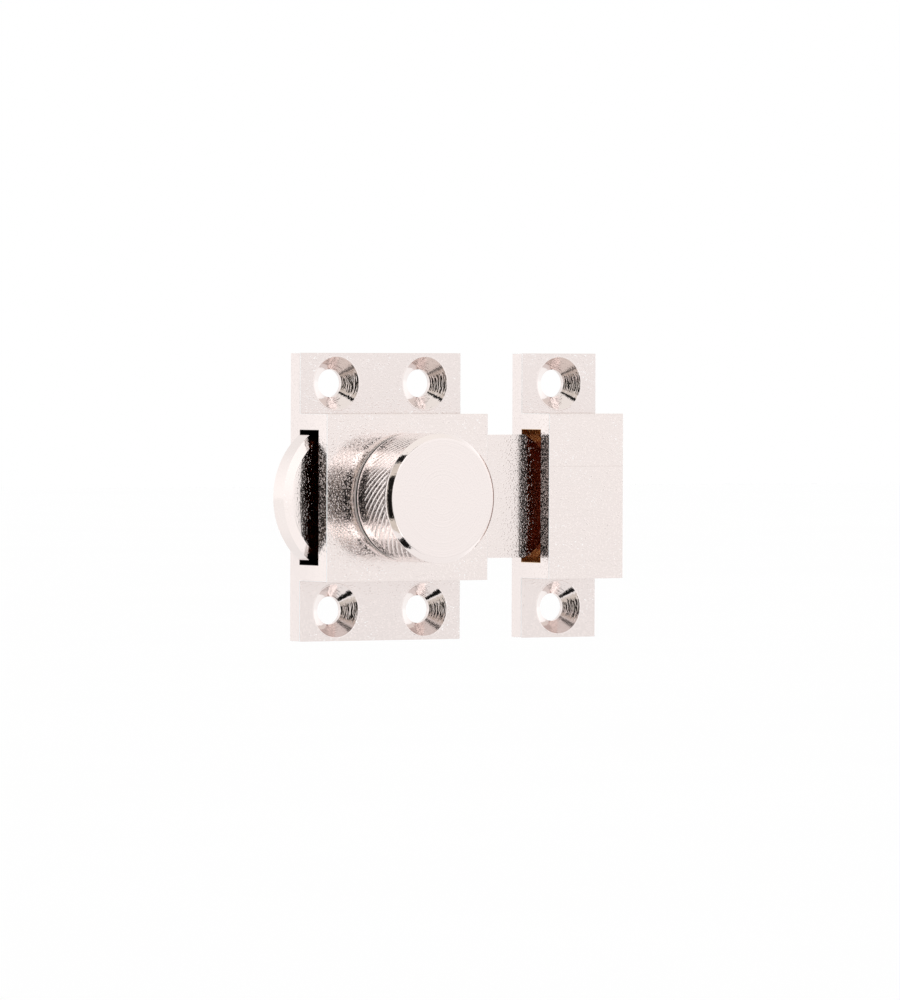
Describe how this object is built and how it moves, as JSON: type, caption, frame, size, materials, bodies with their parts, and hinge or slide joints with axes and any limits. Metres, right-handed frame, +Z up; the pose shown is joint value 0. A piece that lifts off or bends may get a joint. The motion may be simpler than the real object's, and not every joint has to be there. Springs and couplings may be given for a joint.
{
  "type": "barrel bolt",
  "caption": "Small surface bolt with a knurled turn knob that drives a flat bar through a rack and pinion into a matching keeper.",
  "frame": {"origin": "middle of the case's rear face, on the spindle's axis and at the centre of its four screw holes", "axes": "+X the way the bolt is thrown, towards the keeper; +Y into the door that it is screwed to, so the knob faces -Y; +Z up"},
  "size_m": [0.0514, 0.0171, 0.038],
  "materials": {
    "bright_nickel": "polished nickel plate",
    "polished_bar": "polished nickel plate on a flat bar",
    "turned_nickel": "nickel plate over fine turning marks, with a cut knurl",
    "cut_brass": "bare machined brass",
    "thin_washer": "white nylon",
    "spring_steel": "zinc plated steel"
  },
  "bodies": {
    "case": {"case": "bright_nickel", "keeper": "bright_nickel"},
    "knob": {"knob": "turned_nickel", "pinion": "cut_brass", "friction_washer": "thin_washer", "spring_washer": "spring_steel", "spindle_screw": "spring_steel"},
    "bolt": {"bolt": "polished_bar", "rack": "cut_brass", "rack_rivets": "cut_brass"}
  },
  "joints": [
    {"name": "knob_turn", "type": "hinge", "parent": "case", "child": "knob", "pos_m": [0, 0, 0], "axis": [0, -1, 0], "range_deg": [0, 180]},
    {"name": "bolt_slide", "type": "slide", "parent": "case", "child": "bolt", "axis": [-1, 0, 0], "range_m": [0, 0.01037]}
  ],
  "couplings": [
    {"joint": "bolt_slide", "follows": "knob_turn", "m_per_rad": 0.0033}
  ]
}
